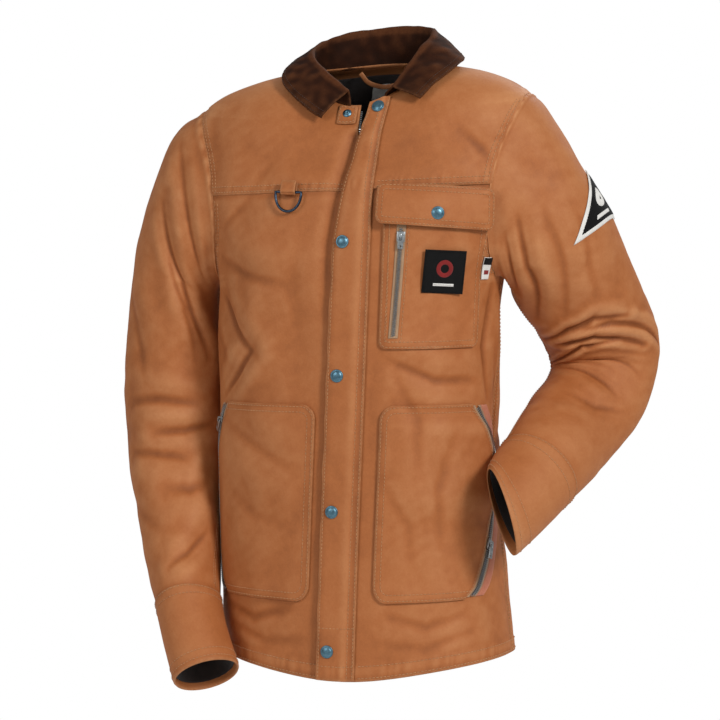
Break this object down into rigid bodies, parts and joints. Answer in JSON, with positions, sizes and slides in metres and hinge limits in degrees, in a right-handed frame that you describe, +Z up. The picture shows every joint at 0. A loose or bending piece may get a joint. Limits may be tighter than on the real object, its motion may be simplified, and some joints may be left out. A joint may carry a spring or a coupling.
{
  "type": "leather work jacket",
  "caption": "Hip-length leather work jacket as worn, left hand at its pocket, with snap placket, zips, chest pocket with flap, D-ring and contrast collar.",
  "frame": {"origin": "centre of the neck seam, where the wearer's neck or a display bust holds the jacket", "axes": "+Z up, -Y to the wearer's front, +X to the wearer's left"},
  "size_m": [0.6485, 0.3398, 0.8029],
  "materials": {
    "leather": "matte waxed, lightly scuffed",
    "lining": "matte woven",
    "snap": "satin blue-grey",
    "zip": "satin",
    "tape": "woven tape",
    "patch": "woven black",
    "label": "woven white",
    "ring": "dark blue-black",
    "facing": "matte twill",
    "collar": "soft napped"
  },
  "bodies": {
    "shell": {"front_right": "leather", "yoke_right": "leather", "lining_front_right": "lining", "front_left": "leather", "yoke_left": "leather", "lining_front_left": "lining", "back_panel": "leather", "back_yoke": "leather", "lining_back": "lining", "snap_stud_1": "snap", "snap_stud_2": "snap", "snap_stud_3": "snap", "snap_stud_4": "snap", "throat_tab": "leather", "snap_stud_5": "snap", "main_zip_right": "zip", "main_zip_left": "zip", "chest_pocket": "leather", "snap_stud_flap": "snap", "chest_zip_tape": "tape", "chest_zip_teeth": "zip", "badge": "patch", "side_label": "label", "d_ring_tab": "leather", "pocket_left": "leather", "pocket_right": "leather", "pocket_left_zip_inner": "zip", "pocket_left_zip_outer": "zip", "pocket_left_facing": "facing", "pocket_right_zip_inner": "zip", "pocket_right_zip_outer": "zip", "sleeve_right": "leather", "cuff_right": "leather", "sleeve_lining_right": "lining", "sleeve_left": "leather", "cuff_left": "leather", "sleeve_lining_left": "lining", "sleeve_emblem": "patch", "collar": "collar", "collar_stand": "collar", "neck_label": "label", "hanger_loop": "leather"},
    "placket": {"placket": "leather", "snap_cap_1": "snap", "snap_cap_2": "snap", "snap_cap_3": "snap", "snap_cap_4": "snap", "snap_cap_5": "snap"},
    "chest_flap": {"chest_flap": "leather", "snap_cap_flap": "snap"},
    "chest_zip_slider": {"chest_zip_slider": "zip"},
    "chest_zip_pull": {"chest_zip_pull": "zip"},
    "main_zip_slider": {"main_zip_slider": "zip"},
    "main_zip_pull": {"main_zip_pull": "zip"},
    "pocket_left_slider": {"pocket_left_slider": "zip"},
    "pocket_left_pull": {"pocket_left_pull": "zip"},
    "pocket_right_slider": {"pocket_right_slider": "zip"},
    "pocket_right_pull": {"pocket_right_pull": "zip"},
    "d_ring": {"d_ring": "ring"}
  },
  "joints": [
    {"name": "placket_fold", "type": "hinge", "parent": "shell", "child": "placket", "pos_m": [0.01994, -0.13391, -0.45964], "axis": [0.0407, -0.0049, 0.9992], "range_deg": [0, 60]},
    {"name": "chest_flap_lift", "type": "hinge", "parent": "shell", "child": "chest_flap", "pos_m": [0.11615, -0.11659, -0.14347], "axis": [-0.9498, -0.311, 0.0342], "range_deg": [0, 100]},
    {"name": "chest_zip_slide", "type": "slide", "parent": "shell", "child": "chest_zip_slider", "axis": [-0.0806, 0.003, -0.9967], "range_m": [0, 0.09]},
    {"name": "chest_zip_pull_lift", "type": "hinge", "parent": "chest_zip_slider", "child": "chest_zip_pull", "pos_m": [0.06844, -0.13829, -0.20394], "axis": [-0.9788, -0.1993, 0.0474], "range_deg": [0, 120]},
    {"name": "main_zip_slide", "type": "slide", "parent": "shell", "child": "main_zip_slider", "axis": [-0.0418, 0.007, -0.9991], "range_m": [0, 0.36]},
    {"name": "main_zip_pull_lift", "type": "hinge", "parent": "main_zip_slider", "child": "main_zip_pull", "pos_m": [0.00807, -0.13746, -0.24856], "axis": [-0.9983, -0.0411, 0.0413], "range_deg": [0, 5]},
    {"name": "pocket_left_slide", "type": "slide", "parent": "shell", "child": "pocket_left_slider", "axis": [0.0727, 0.3151, 0.9463], "range_m": [-0.012, 0.012]},
    {"name": "pocket_left_pull_lift", "type": "hinge", "parent": "pocket_left_slider", "child": "pocket_left_pull", "pos_m": [0.15946, -0.05385, -0.57426], "axis": [-0.3351, -0.8859, 0.3208], "range_deg": [0, 110]},
    {"name": "pocket_right_slide", "type": "slide", "parent": "shell", "child": "pocket_right_slider", "axis": [-0.3009, 0.4627, -0.8339], "range_m": [0, 0.01]},
    {"name": "pocket_right_pull_lift", "type": "hinge", "parent": "pocket_right_slider", "child": "pocket_right_pull", "pos_m": [-0.17416, -0.07819, -0.427], "axis": [-0.4399, 0.7085, 0.5518], "range_deg": [0, 110]},
    {"name": "d_ring_swing", "type": "hinge", "parent": "shell", "child": "d_ring", "pos_m": [-0.07068, -0.13249, -0.15186], "axis": [-0.9918, 0.1255, 0.0235], "range_deg": [0, 140]}
  ]
}
